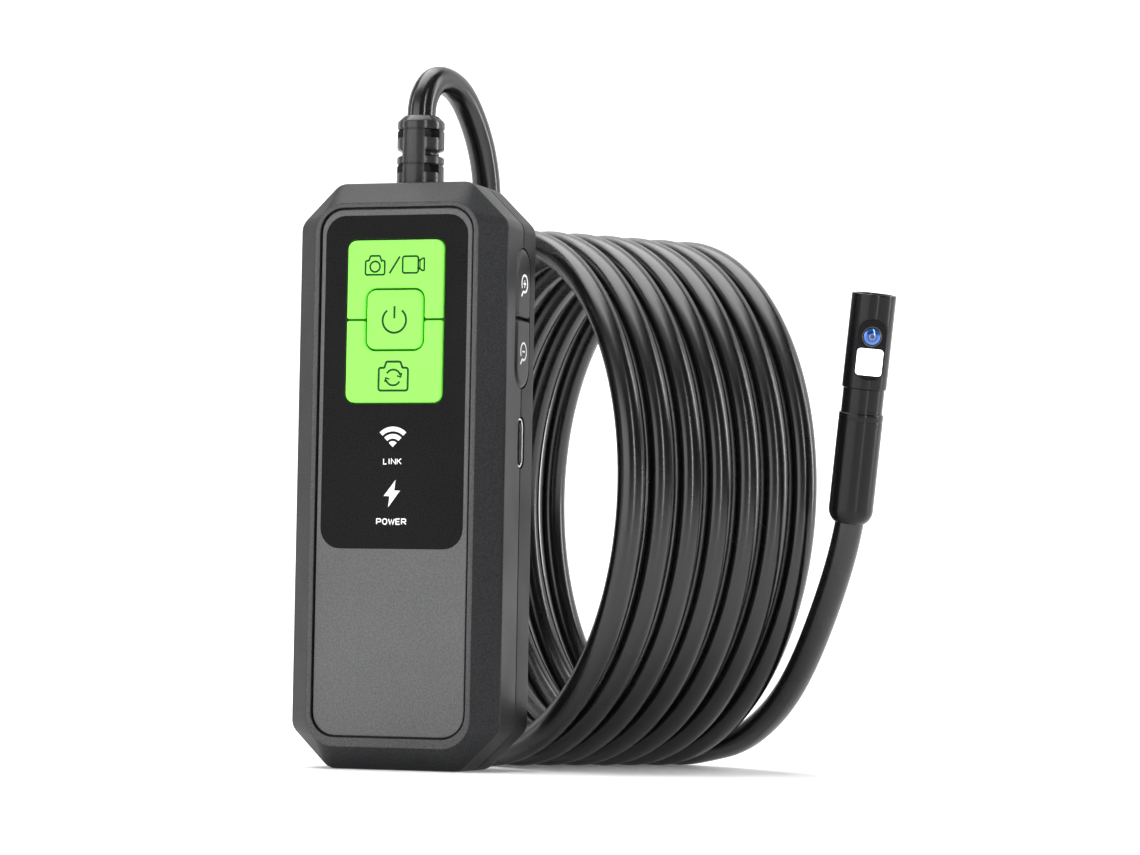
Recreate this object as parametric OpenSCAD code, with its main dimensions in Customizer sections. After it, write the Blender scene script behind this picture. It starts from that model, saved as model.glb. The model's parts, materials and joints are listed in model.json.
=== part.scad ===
// Hand-held inspection camera: control box, segmented strain relief, standing coil of
// semi-rigid cable and a two-way camera probe. Millimetres, +Z up, front face towards -Y.
// The origin is the centre of the control box's base.

/* [Control box] */
// Width of the box
box_w = 40; // [39:0.5:42]
// Height of the box
box_h = 106; // [105:0.5:108]
// Depth of the box
box_d = 23; // [23:0.5:24]
// How far the bevels run in from the left and right sides
bevel_side = 4.35; // [4:0.05:4.5]
// How far the bevels run in from the top and bottom
bevel_end = 4.1; // [3.8:0.1:4.4]
// How far the bevels run in from the four cut corners
bevel_corner = 2.9; // [2.7:0.1:3.1]
// How far the bevels run back from the front and rear faces
bevel_depth = 4; // [3.5:0.1:4.5]
// Size of the four cut corners of the outline
corner_cut = 7.4; // [7:0.1:7.8]
// Thickness of the side walls
wall = 2; // [1.8:0.1:2.1]
// Where the two shells meet, along Y
seam_y = 0.9; // [0.8:0.1:1.0]

/* [Front panel] */
// Width of the recess in the front face
recess_w = 29.5; // [28.6:0.1:29.6]
// Height of the recess in the front face
recess_h = 95.4; // [94.5:0.1:95.5]
// Width of the groove left around the face plate
groove = 0.3; // [0.2:0.05:0.5]
// Width of the black overlay
overlay_w = 27.3; // [26.5:0.1:27.5]
// Height of the black overlay
overlay_h = 60.1; // [59:0.1:60.3]
// Height of the overlay's lower edge above the base
overlay_z = 39.6; // [39:0.1:40]

/* [Front keys] */
// Width of the key field
pad_w = 18.5; // [18:0.1:19]
// Height of the key field
pad_h = 29.4; // [29:0.1:29.8]
// Height of the key field's centre above the base
pad_z = 80.5; // [80:0.1:81]
// Side of the square power key
power_w = 10.6; // [10:0.1:11]
// Gap between neighbouring keys
key_gap = 0.4; // [0.3:0.05:0.5]
// Travel of every key
key_travel = 0.45; // [0.3:0.05:0.5]

/* [Side keys] */
// Length of the field that holds both zoom keys
rocker_h = 25.6; // [25:0.1:26]
// Width of the zoom keys' field
rocker_w = 8; // [7.6:0.1:8.2]
// Height of its centre above the base
rocker_z = 81.8; // [81.5:0.1:82]

/* [Ports] */
// Height of the charging port's centre above the base
charge_z = 59.3; // [59:0.1:60]
// Width of the ports' metal shells
port_w = 8.94; // [8.8:0.02:9]
// Height of the ports' metal shells
port_t = 3.16; // [3:0.02:3.2]

/* [Strain relief] */
// Outer diameter of the strain relief
relief_d = 8.6; // [8.4:0.1:8.8]
// Height of the strain relief above the box
relief_h = 13; // [13:0.1:13.4]

/* [Cable] */
// Diameter of the cable
cable_d = 5.2; // [5:0.1:5.2]
// Radius of the coil at the cable's centreline
coil_r = 48; // [47:0.5:48]
// Distance between neighbouring turns
coil_pitch = 6.1; // [6:0.1:6.1]
// Whole turns in the coil
coil_turns = 7; // [7:1:7]

/* [Probe] */
// Diameter of the probe's barrel and head
probe_d = 8; // [8:0.1:8.2]
// Length of the barrel
barrel_len = 20.4; // [20:0.1:21]
// Length of the narrower neck
neck_len = 4.5; // [4.5:0.1:5]
// Length of the head that holds both cameras
head_len = 17; // [17:0.1:17.4]

/* [Hidden] */
$fn = 48;

// Planes across the box, from front to back
front_y = -box_d / 2;
plate_y = front_y + 0.3;
floor_y = front_y + 1.3;
inner_front_y = floor_y + 1.8;
board_front_y = -1.6;
board_rear_y = -0.4;
inner_rear_y = box_d / 2 - wall;
rear_y = box_d / 2;
port_y = board_rear_y + port_t / 2 + 0.02;

// Face plate and overlay
recess_z = 53.45;
recess_r = 4.5;
plate_r = recess_r - groove;
overlay_t = 0.25;
overlay_r = 3.7;

// Keys: the plate is the visible cap, the stem passes the wall, the head stops it
key_r = 1.6;
key_front_y = front_y - 0.2;
key_back_y = key_front_y + 0.9;
key_clear = 0.12;
stem_r = 1.45;
stem_bore_r = 1.6;
head_r = 2.1;
photo_z = pad_z + 10.1;
power_z = pad_z + 0.3;
lens_z = pad_z - 9.9;
front_key_z = [photo_z, power_z, lens_z];
plunger_y = -4.9;
plunger_r = 1;
switch_w = 4.6;
switch_front_y = board_front_y - 2;

// Zoom keys on the right-hand side
side_x = box_w / 2;
rocker_floor_x = side_x - 1.2;
rocker_front_x = side_x + 0.25;
rocker_back_x = rocker_front_x - 0.9;
boss_x = side_x - 3;
zoom_in_z = rocker_z + 6.6;
zoom_out_z = rocker_z - 6.6;
zoom_key_z = [zoom_in_z, zoom_out_z];
side_stem_r = 1.2;
side_stem_bore_r = 1.32;
side_head_r = 1.8;
side_plunger_x = 15.9;
side_plunger_r = 0.8;
side_switch_x = [11, 15.2];

// Indicators on the front
link_z = 59.7;
charge_led_z = 49.5;
guide_r = 1.5;

// Screws that hold the two shells together
screw_xz = [[-12, 9.5], [12, 9.5], [-12, 96.5], [12, 96.5]];
screw_r = 0.95;
boss_r = 2.4;
clamp_x = 5;
clamp_z = 98.8;
clamp_y = 2.6;

// Coil: its axis is level and runs away to the rear right
coil_angle = 49;
coil_dir = [cos(coil_angle), sin(coil_angle), 0];
coil_right = [sin(coil_angle), -cos(coil_angle), 0];
coil_foot = [5.1, 27.8, 0];
coil_z = coil_r + cable_d / 2;

// Cable from the strain relief, over its short loop and down behind the box
lead_route = [
    [0, 0, 119], [0, 0, 121.5], [0.5, 1.5, 124.5], [1, 4.5, 126.5],
    [2, 8.5, 126.5], [3, 12.5, 125], [4, 16, 121], [5, 18.5, 116],
    [5.5, 20.5, 110], [5.5, 21.5, 103.5], [4, 23, 97], [1, 26, 91],
    [-4, 30.5, 87.5], [-10, 35.5, 83.5], [-16.5, 41, 79.5], [-23, 47.5, 74.5],
    [-28, 52.5, 68], [-31.3, 56.5, 60], [-32.2, 58.1, 50.5],
    [-30.8, 57.3, 38], [-27, 54.3, 26.5], [-21, 49.5, 16.5],
    [-13.3, 43, 9], [-4.5, 35.7, 4.2], [5.1, 27.8, 2.6]
];

// Cable from the last turn's foot up to the probe
tail_route = [
    [33.1, 60, 2.6], [41, 54, 3.8], [48, 48, 5], [54.5, 42, 8.5],
    [60.5, 36, 13.5], [65.5, 30.5, 20], [69.5, 26, 27], [73, 22, 34],
    [75.8, 18.7, 40.5], [77.3, 16.8, 45.3], [77.8, 16.4, 48.3]
];
tube_sides = 10;

// Probe: stands on the cable's end, leaning away from the coil
probe_base = [77.3, 16.8, 45.3];
probe_lean = 9.5;
probe_heading = -41;
window_turn = -27;
probe_r = probe_d / 2;
probe_bore_r = probe_r - 0.9;
spigot_r = probe_bore_r - 0.05;
end_r = 3;
neck_z = barrel_len;
head_z = neck_z + neck_len;
tip_z = head_z + head_len;
window_x = 2.95;
window_z = [head_z + 1.5, head_z + 12.1];
lens_up = tip_z - 7.5;
lamp_up = tip_z - 12.1;

// ---------- shared shapes ----------

// Corner points of a rectangle with round corners, centred
function round_points(w, h, r, n = 6) =
    [for (q = [0:3], i = [0:n])
        let (a = 90 * q + 90 * i / n,
             sx = (q == 0 || q == 3) ? 1 : -1,
             sy = q < 2 ? 1 : -1)
        [sx * (w / 2 - r) + r * cos(a), sy * (h / 2 - r) + r * sin(a)]];

module round_rect(w, h, r) {
    polygon(round_points(w, h, r));
}

// Extrudes an x-z outline between two planes across the box
module face_extrude(y0, y1) {
    translate([0, y1, 0]) rotate([90, 0, 0]) linear_extrude(y1 - y0) children();
}

// Extrudes a y-z outline between two planes along X
module side_extrude(x0, x1) {
    translate([x0, 0, 0]) rotate([90, 0, 90]) linear_extrude(x1 - x0) children();
}

// Round bar or bore along Y
module y_rod(r, y0, y1, x, z) {
    translate([x, y0, z]) rotate([-90, 0, 0]) cylinder(r = r, h = y1 - y0);
}

// Round bar or bore along X
module x_rod(r, x0, x1, y, z) {
    translate([x0, y, z]) rotate([0, 90, 0]) cylinder(r = r, h = x1 - x0);
}

// Eight-sided section: half width a, depth d, bevels b wide and k deep
function bevel_section(a, d, b, k) = [
    [-a, k - d / 2], [b - a, -d / 2], [a - b, -d / 2], [a, k - d / 2],
    [a, d / 2 - k], [a - b, d / 2], [b - a, d / 2], [-a, d / 2 - k]
];

// Rectangle with four cut corners
function cut_rect(w, h, c) = [
    [c - w / 2, -h / 2], [w / 2 - c, -h / 2], [w / 2, c - h / 2],
    [w / 2, h / 2 - c], [w / 2 - c, h / 2], [c - w / 2, h / 2],
    [-w / 2, h / 2 - c], [-w / 2, c - h / 2]
];

// Block with cut corners, bevelled all round its front and rear faces
module bevelled_block(w, h, d, cut, side, end, corner, depth) {
    reach = (w / 2 + h / 2 - cut) / sqrt(2);
    intersection() {
        face_extrude(-d / 2, d / 2) polygon(cut_rect(w, h, cut));
        translate([0, 0, -h / 2])
            linear_extrude(h) polygon(bevel_section(w / 2, d, side, depth));
        side_extrude(-w / 2, w / 2)
            rotate(90) polygon(bevel_section(h / 2, d, end, depth));
        rotate([0, 45, 0]) translate([0, 0, -h])
            linear_extrude(2 * h) polygon(bevel_section(reach, d, corner, depth));
        rotate([0, -45, 0]) translate([0, 0, -h])
            linear_extrude(2 * h) polygon(bevel_section(reach, d, corner, depth));
    }
}

module box_form() {
    translate([0, 0, box_h / 2])
        bevelled_block(
            box_w, box_h, box_d, corner_cut, bevel_side, bevel_end, bevel_corner, bevel_depth);
}

// Inner space, grown sideways by extra for the lap joint at the seam
module cavity_form(extra = 0) {
    depth = inner_rear_y - inner_front_y;
    translate([0, (inner_rear_y + inner_front_y) / 2, box_h / 2])
        bevelled_block(
            box_w - 2 * wall + 2 * extra, box_h - 2 * wall + 2 * extra, depth,
            corner_cut - 1.2 + 0.6 * extra, 3.3, 3.1, 3.3, 2.4);
}

// Everything in front of (side -1) or behind (side 1) a plane across the box
module half_space(y, side) {
    translate([-box_w, side < 0 ? y - 2 * box_d : y, -10])
        cube([2 * box_w, 2 * box_d, box_h + 20]);
}

// Holes that pass through both shells at the seam
module seam_openings() {
    translate([0, 0, box_h - wall - 4]) cylinder(r = 3.3, h = wall + 6);
    side_extrude(rocker_floor_x, side_x + 1)
        translate([seam_y, rocker_z]) round_rect(rocker_w, rocker_h, rocker_w / 2 - 0.01);
    for (z = zoom_key_z)
        x_rod(side_stem_bore_r, boss_x - 1, side_x, seam_y, z);
    side_extrude(side_x - wall - 3, side_x + 1)
        translate([port_y, charge_z]) round_rect(port_t + 0.5, port_w + 0.5, 1.8);
    translate([0, port_y, -1])
        linear_extrude(wall + 2) round_rect(port_w + 0.5, port_t + 0.5, 1.8);
}

// Pad inside the wall that guides the zoom keys' stems
module rocker_boss() {
    side_extrude(boss_x, side_x - wall + 0.3)
        translate([seam_y, rocker_z]) round_rect(rocker_w + 1.6, rocker_h + 1, 1);
}

// ---------- shells and front panel ----------

module front_shell() {
    color([0.19, 0.19, 0.20]) difference() {
        union() {
            difference() {
                intersection() {
                    box_form();
                    half_space(seam_y, -1);
                }
                cavity_form();
                intersection() {
                    cavity_form(0.9);
                    half_space(seam_y - 1.1, 1);
                }
            }
            intersection() {
                rocker_boss();
                half_space(seam_y, -1);
            }
            for (p = screw_xz)
                y_rod(boss_r, inner_front_y - 0.5, board_front_y, p[0], p[1]);
            for (x = [-clamp_x, clamp_x])
                y_rod(1.8, inner_front_y - 0.5, -clamp_y, x, clamp_z);
        }
        seam_openings();
        face_extrude(front_y - 1, floor_y)
            translate([0, recess_z]) round_rect(recess_w, recess_h, recess_r);
        for (z = front_key_z)
            y_rod(stem_bore_r, floor_y - 1, inner_front_y + 1, 0, z);
        for (z = [link_z, charge_led_z])
            y_rod(guide_r + 0.1, floor_y - 1, inner_front_y + 1, 0, z);
        for (p = screw_xz)
            y_rod(screw_r + 0.03, inner_front_y + 0.8, board_front_y + 1, p[0], p[1]);
        for (x = [-clamp_x, clamp_x])
            y_rod(0.78, inner_front_y + 0.8, 0, x, clamp_z);
    }
}

module rear_shell() {
    color([0.13, 0.13, 0.14]) difference() {
        union() {
            difference() {
                intersection() {
                    box_form();
                    half_space(seam_y, 1);
                }
                cavity_form();
            }
            difference() {
                intersection() {
                    cavity_form(0.8);
                    half_space(seam_y - 1, 1);
                    half_space(seam_y + 1, -1);
                }
                cavity_form();
                rocker_boss();
            }
            intersection() {
                rocker_boss();
                half_space(seam_y, 1);
            }
            for (p = screw_xz)
                y_rod(boss_r, board_rear_y, rear_y - 1, p[0], p[1]);
            for (z = [12.6, 53.4])
                translate([-9, 3, z]) cube([18, inner_rear_y - 2.7, 0.9]);
        }
        seam_openings();
        for (p = screw_xz) {
            y_rod(screw_r + 0.15, board_rear_y - 1, rear_y + 1, p[0], p[1]);
            y_rod(2.1, rear_y - 1.3, rear_y + 1, p[0], p[1]);
        }
    }
}

module face_plate() {
    color([0.30, 0.30, 0.31]) difference() {
        face_extrude(plate_y, floor_y)
            translate([0, recess_z])
            round_rect(recess_w - 2 * groove, recess_h - 2 * groove, plate_r);
        face_extrude(plate_y - 1, plate_y + overlay_t)
            translate([0, overlay_z + overlay_h / 2])
            round_rect(overlay_w + 0.1, overlay_h + 0.1, overlay_r);
        face_extrude(plate_y - 1, floor_y + 1)
            translate([0, pad_z])
            round_rect(pad_w + 2 * key_clear, pad_h + 2 * key_clear, key_r + key_clear);
        for (z = [link_z, charge_led_z])
            y_rod(guide_r + 0.1, plate_y - 1, floor_y + 1, 0, z);
    }
}

module panel_overlay() {
    color([0.05, 0.05, 0.055]) difference() {
        face_extrude(plate_y - 0.05, plate_y + overlay_t)
            translate([0, overlay_z + overlay_h / 2])
            round_rect(overlay_w, overlay_h, overlay_r - 0.05);
        face_extrude(plate_y - 1, floor_y)
            translate([0, pad_z])
            round_rect(pad_w + 2 * key_clear, pad_h + 2 * key_clear, key_r + key_clear);
    }
}

// Soft sheet behind the front wall that keeps dust out around the three stems
module key_gasket() {
    color([0.35, 0.36, 0.38]) difference() {
        face_extrude(inner_front_y, inner_front_y + 0.5)
            translate([0, pad_z]) round_rect(pad_w - 2, pad_h - 3, 1.5);
        for (z = front_key_z)
            y_rod(head_r + 0.15, inner_front_y - 1, inner_front_y + 1, 0, z);
    }
}

// ---------- keys ----------

// Stem behind a front key, with the head that stops it against the wall
module front_stem(z) {
    y_rod(stem_r, key_back_y - 0.2, plunger_y, 0, z);
    y_rod(head_r, inner_front_y + 0.05, inner_front_y + 0.65, 0, z);
}

// Outline of the key field above (side 1) or below (side -1) the power key's middle
module wing_outline(side) {
    difference() {
        translate([0, pad_z]) round_rect(pad_w, pad_h, key_r);
        translate([0, power_z])
            round_rect(power_w + 2 * key_gap, power_w + 2 * key_gap, key_r + key_gap);
        translate([-pad_w, side > 0 ? power_z + key_gap / 2 - pad_h : power_z - key_gap / 2])
            square([2 * pad_w, pad_h]);
    }
}

module photo_key() {
    color([0.40, 0.95, 0.22]) union() {
        face_extrude(key_front_y, key_back_y) wing_outline(1);
        front_stem(photo_z);
    }
}

module lens_key() {
    color([0.40, 0.95, 0.22]) union() {
        face_extrude(key_front_y, key_back_y) wing_outline(-1);
        front_stem(lens_z);
    }
}

module power_key() {
    color([0.40, 0.95, 0.22]) union() {
        face_extrude(key_front_y, key_back_y)
            translate([0, power_z]) round_rect(power_w, power_w, key_r);
        front_stem(power_z);
    }
}

// Zoom key above (side 1) or below (side -1) the middle of the rocker field
module zoom_key(side, z) {
    w = rocker_w - 2 * key_clear;
    h = rocker_h - 2 * key_clear;
    color([0.10, 0.10, 0.11]) union() {
        side_extrude(rocker_back_x, rocker_front_x) intersection() {
            translate([seam_y, rocker_z]) round_rect(w, h, w / 2 - 0.01);
            translate([seam_y - w, side > 0 ? rocker_z + 0.15 : rocker_z - 0.15 - h])
                square([2 * w, h]);
        }
        x_rod(side_stem_r, side_plunger_x, rocker_back_x + 0.2, seam_y, z);
        x_rod(side_head_r, boss_x - 0.65, boss_x - 0.05, seam_y, z);
    }
}

module zoom_in_key() {
    zoom_key(1, zoom_in_z);
}

module zoom_out_key() {
    zoom_key(-1, zoom_out_z);
}

// Plunger of a push switch behind a front key
module front_plunger(z) {
    color([0.85, 0.84, 0.80]) y_rod(plunger_r, plunger_y, plunger_y + 2, 0, z);
}

module photo_plunger() {
    front_plunger(photo_z);
}

module power_plunger() {
    front_plunger(power_z);
}

module lens_plunger() {
    front_plunger(lens_z);
}

// Plunger of a push switch behind a zoom key
module side_plunger(z) {
    color([0.85, 0.84, 0.80])
        x_rod(side_plunger_r, side_plunger_x - 1.7, side_plunger_x, seam_y, z);
}

module zoom_in_plunger() {
    side_plunger(zoom_in_z);
}

module zoom_out_plunger() {
    side_plunger(zoom_out_z);
}

module front_switches() {
    color([0.16, 0.16, 0.17])
    for (z = front_key_z)
        difference() {
            face_extrude(switch_front_y, board_front_y)
                translate([0, z]) round_rect(switch_w, switch_w, 0.5);
            y_rod(plunger_r + 0.1, switch_front_y - 1, board_front_y - 0.3, 0, z);
        }
}

module side_switches() {
    color([0.16, 0.16, 0.17])
    for (z = zoom_key_z)
        difference() {
            translate([side_switch_x[0], board_rear_y, z - switch_w / 2])
                cube([side_switch_x[1] - side_switch_x[0], 2.8, switch_w]);
            x_rod(side_plunger_r + 0.1, side_switch_x[0] + 2.4, side_switch_x[1] + 1, seam_y, z);
        }
}

// ---------- electronics ----------

module light_guides() {
    color([0.85, 0.90, 0.92, 0.6])
    for (z = [link_z, charge_led_z])
        y_rod(guide_r, plate_y + overlay_t, board_front_y - 1.2, 0, z);
}

module status_leds() {
    color([0.95, 0.93, 0.80])
    for (z = [link_z, charge_led_z])
        translate([-0.8, board_front_y - 0.7, z - 0.5]) cube([1.6, 0.7, 1]);
}

module main_board() {
    color([0.05, 0.28, 0.16]) difference() {
        face_extrude(board_front_y, board_rear_y)
            polygon([
                [-16.8, 8], [-11.8, 3], [11.8, 3], [16.8, 8], [16.8, 97.5],
                [14.3, 100], [8.5, 100], [8.5, 94], [-8.5, 94], [-8.5, 100],
                [-14.3, 100], [-16.8, 97.5]
            ]);
        for (p = screw_xz)
            y_rod(screw_r + 0.25, board_front_y - 1, board_rear_y + 1, p[0], p[1]);
        for (z = zoom_key_z)
            translate([side_plunger_x - 0.5, board_front_y - 1, z - 2.4]) cube([3, 4, 4.8]);
    }
}

module video_processor() {
    color([0.10, 0.10, 0.11])
        translate([-8, board_rear_y, 63]) cube([9, 0.9, 9]);
}

module radio_module() {
    color([0.75, 0.76, 0.77])
        translate([-15.5, board_rear_y, 76]) cube([12, 2.2, 15]);
}

module antenna_strip() {
    color([0.70, 0.45, 0.15])
        translate([-side_x + wall, -4.5, 62]) cube([0.3, 3.2, 28]);
}

module battery_cell() {
    color([0.72, 0.73, 0.76])
        translate([0, 1.2, 33.5])
        linear_extrude(39, center = true)
        translate([0, 3.6]) round_rect(30.6, 7.2, 2.4);
}

module battery_pad() {
    color([0.20, 0.20, 0.22])
        translate([-12, 8.4, 20]) cube([24, inner_rear_y - 8.4, 26]);
}

module battery_lead() {
    color([0.75, 0.10, 0.08])
    for (x = [-12.6, -10.4])
        translate([x, 2.6, 53]) cylinder(r = 0.6, h = 3);
}

module battery_plug() {
    color([0.92, 0.90, 0.84])
        translate([-14.5, board_rear_y, 56]) cube([6, 3.8, 4.5]);
}

// Metal shell of a port, open at its mouth, with its length along local Z
module port_shell(len) {
    difference() {
        linear_extrude(len) round_rect(port_w, port_t, 1.5);
        translate([0, 0, 0.8]) linear_extrude(len) round_rect(port_w - 0.7, port_t - 0.7, 1.15);
    }
}

module port_tongue(len) {
    translate([-3.35, -0.35, 0.8]) cube([6.7, 0.7, len - 1.6]);
}

module charge_place() {
    translate([side_x - 7.6, port_y, charge_z]) rotate([0, 90, 0]) children();
}

module data_place() {
    translate([0, port_y, 7.6]) rotate([180, 0, 0]) children();
}

module charge_port() {
    color([0.78, 0.78, 0.80]) charge_place() port_shell(7.4);
}

module charge_port_tongue() {
    color([0.08, 0.08, 0.09]) charge_place() port_tongue(7.4);
}

module data_port() {
    color([0.78, 0.78, 0.80]) data_place() port_shell(7.4);
}

module data_port_tongue() {
    color([0.08, 0.08, 0.09]) data_place() port_tongue(7.4);
}

module case_screws() {
    color([0.60, 0.60, 0.62])
    for (p = screw_xz)
        difference() {
            union() {
                y_rod(screw_r, -6.4, rear_y - 1, p[0], p[1]);
                y_rod(1.9, rear_y - 1.3, rear_y - 0.2, p[0], p[1]);
            }
            for (a = [0, 90])
                translate([p[0], rear_y - 0.8, p[1]]) rotate([0, a, 0])
                    translate([-0.2, 0, -1.1]) cube([0.4, 1, 2.2]);
        }
}

// ---------- strain relief and cable entry ----------

// Window through the strain relief's sleeve between two angles
module sleeve_window(a0, a1, z0, z1) {
    reach = 9;
    translate([0, 0, z0]) linear_extrude(z1 - z0) difference() {
        polygon([
            [0, 0], [reach * cos(a0), reach * sin(a0)],
            [reach * cos((a0 + a1) / 2), reach * sin((a0 + a1) / 2)],
            [reach * cos(a1), reach * sin(a1)]
        ]);
        circle(r = 3);
    }
}

module strain_relief() {
    r = relief_d / 2;
    top = box_h + relief_h;
    color([0.12, 0.12, 0.13]) difference() {
        rotate_extrude() polygon([
            [2.1, box_h - 4.1], [5, box_h - 4.1], [5, box_h - wall - 0.1],
            [3.2, box_h - wall - 0.1], [3.2, box_h], [r, box_h], [r, top - 1],
            [2.9, top], [2.1, top]
        ]);
        for (z = [2.4, 8.8], m = [0, 180]) {
            sleeve_window(m - 60, m - 18, box_h + z, box_h + z + 1.6);
            sleeve_window(m + 18, m + 60, box_h + z, box_h + z + 1.6);
        }
        for (m = [0, 180])
            sleeve_window(m - 58, m + 58, box_h + 5.2, box_h + 6.8);
    }
}

module cable_core() {
    color([0.55, 0.56, 0.58])
        translate([0, 0, 95]) cylinder(r = 2, h = box_h + relief_h - 95);
}

module cable_clamp() {
    color([0.16, 0.16, 0.17]) difference() {
        translate([-7.2, -clamp_y, 96.6]) cube([14.4, 2 * clamp_y, 4.4]);
        translate([0, 0, 90]) cylinder(r = 2.05, h = 20);
        for (x = [-clamp_x, clamp_x])
            y_rod(0.9, -5, 5, x, clamp_z);
    }
}

module clamp_screws() {
    color([0.60, 0.60, 0.62])
    for (x = [-clamp_x, clamp_x]) {
        y_rod(0.75, -6, clamp_y + 0.5, x, clamp_z);
        y_rod(1.4, clamp_y, clamp_y + 0.9, x, clamp_z);
    }
}

module board_plug() {
    color([0.92, 0.90, 0.84])
        translate([1.5, board_rear_y, 84]) cube([7.5, 3.4, 5]);
}

// ---------- swept tubes ----------

function unit(v) = v / norm(v);

// Direction of a route at its point i
function heading(p, i) = unit(p[min(i + 1, len(p) - 1)] - p[max(i - 1, 0)]);

// Sideways vector at every point, carried along the route without twisting
function side_vectors(p, i, v, done) =
    i == len(p) ? done :
    let (t = heading(p, i), w = unit(v - (v * t) * t))
    side_vectors(p, i + 1, w, concat(done, [w]));

// Closed tube of radius r that follows the points of a route
module swept_tube(route, r, sides, start) {
    n = len(route);
    u = side_vectors(route, 0, start, []);
    rings = [for (i = [0:n - 1], k = [0:sides - 1])
        let (a = 360 * k / sides, v = cross(heading(route, i), u[i]))
        route[i] + r * (cos(a) * u[i] + sin(a) * v)];
    walls = [for (i = [0:n - 2], k = [0:sides - 1])
        let (a = i * sides + k, b = i * sides + (k + 1) % sides)
        [a, a + sides, b + sides, b]];
    caps = [[for (k = [0:sides - 1]) k],
            [for (k = [sides - 1:-1:0]) (n - 1) * sides + k]];
    polyhedron(points = rings, faces = concat(walls, caps), convexity = 4);
}

module wire_harness() {
    color([0.70, 0.70, 0.72])
        swept_tube(
            [
                [0, 0.6, 96], [0, 0.6, 95], [1, 1.6, 93.8], [3.5, 1.9, 92],
                [5, 1.9, 90], [5, 1.9, 88.6]
            ],
            1, 8, [1, 0, 0]);
}

module cable_lead() {
    color([0.06, 0.06, 0.065]) swept_tube(lead_route, cable_d / 2, tube_sides, [1, 0, 0]);
}

// Outer shape of the coil: one thick ring as long as all its turns
module cable_coil() {
    length = coil_turns * coil_pitch;
    color([0.06, 0.06, 0.065])
        translate(coil_foot + [0, 0, coil_z])
        rotate([0, 0, coil_angle]) rotate([0, 90, 0])
        rotate_extrude($fn = 96)
        translate([coil_r - cable_d / 2, -cable_d / 2])
        square([cable_d, length + cable_d]);
}

module cable_tail() {
    color([0.06, 0.06, 0.065]) swept_tube(tail_route, cable_d / 2, tube_sides, [0, 0, 1]);
}

// ---------- probe, built upright with its window towards local +X ----------

module probe_place() {
    translate(probe_base) rotate([0, probe_lean, probe_heading])
        rotate([0, 0, window_turn]) children();
}

module probe_barrel() {
    arc = [for (i = [0:6]) let (a = -90 + 15 * i)
        [probe_r - end_r + end_r * cos(a), end_r + end_r * sin(a)]];
    color([0.05, 0.05, 0.055]) probe_place() difference() {
        rotate_extrude() polygon(concat(
            [[0, 0]], arc, [[probe_r, barrel_len], [0, barrel_len]]));
        translate([0, 0, -1]) cylinder(r = cable_d / 2 + 0.05, h = 4);
        translate([0, 0, 2]) cylinder(r = 1.6, h = 4);
        translate([0, 0, 5]) cylinder(r = probe_bore_r, h = barrel_len);
    }
}

module probe_wires() {
    color([0.55, 0.56, 0.58]) probe_place()
        translate([0, 0, 3.1]) cylinder(r = 1, h = head_z + 2.6 - 3.1);
}

// Narrow neck between barrel and head, with a spigot into each
module neck_sleeve() {
    color([0.06, 0.06, 0.065]) probe_place() difference() {
        union() {
            translate([0, 0, neck_z - 3.5]) cylinder(r = spigot_r, h = neck_len + 4.8);
            translate([0, 0, neck_z]) cylinder(r = probe_r - 0.3, h = neck_len);
        }
        translate([0, 0, neck_z - 10]) cylinder(r = 2.2, h = neck_len + 20);
    }
}

module probe_head() {
    color([0.05, 0.05, 0.055]) probe_place() difference() {
        translate([0, 0, head_z]) cylinder(r = probe_r, h = head_len);
        translate([0, 0, head_z - 1]) cylinder(r = probe_bore_r, h = head_len + 2);
        side_extrude(0.5, probe_r + 1)
            translate([0, (window_z[0] + window_z[1]) / 2])
            round_rect(5.2, window_z[1] - window_z[0], 1.2);
    }
}

module side_window() {
    color([0.03, 0.03, 0.035]) probe_place() difference() {
        side_extrude(window_x - 0.6, window_x)
            translate([0, (window_z[0] + window_z[1]) / 2])
            round_rect(5.1, window_z[1] - window_z[0] - 0.1, 1.15);
        x_rod(1.62, 0, 5, 0, lens_up);
    }
}

module side_lens() {
    color([0.15, 0.35, 0.75]) probe_place()
        translate([1.2, 0, lens_up]) rotate([0, 90, 0]) rotate_extrude()
        polygon([[0, 0], [1.55, 0], [1.55, 1.6], [1.2, 1.8], [0.6, 1.9], [0, 1.94]]);
}

module side_lamp() {
    color([0.98, 0.98, 0.95]) probe_place()
        side_extrude(window_x, window_x + 0.2)
        translate([0, lamp_up]) round_rect(4.8, 4.9, 0.7);
}

module camera_board() {
    color([0.05, 0.28, 0.16]) probe_place()
        translate([-0.4, -2.6, head_z + 2.7]) cube([0.8, 5.2, head_len - 6]);
}

module tip_board() {
    color([0.05, 0.28, 0.16]) probe_place()
        translate([0, 0, tip_z - 2.3]) difference() {
            cylinder(r = probe_bore_r - 0.05, h = 0.6);
            translate([0, 0, -1]) cylinder(r = 1.3, h = 3);
        }
}

module front_lens() {
    color([0.15, 0.35, 0.75]) probe_place()
        translate([0, 0, tip_z - 2.9]) rotate_extrude()
        polygon([[0, 0], [1.2, 0], [1.2, 1.6], [0.8, 1.8], [0, 1.9]]);
}

module front_lamps() {
    color([0.98, 0.96, 0.75]) probe_place()
    for (k = [0:5])
        rotate(60 * k) translate([2.2, 0, tip_z - 1.7])
            translate([-0.4, -0.5, 0]) cube([0.8, 1, 0.6]);
}

module tip_window() {
    color([0.70, 0.80, 0.85, 0.4]) probe_place()
        translate([0, 0, tip_z - 0.9]) cylinder(r = probe_bore_r - 0.03, h = 0.6);
}

// ---------- every node ----------

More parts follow.
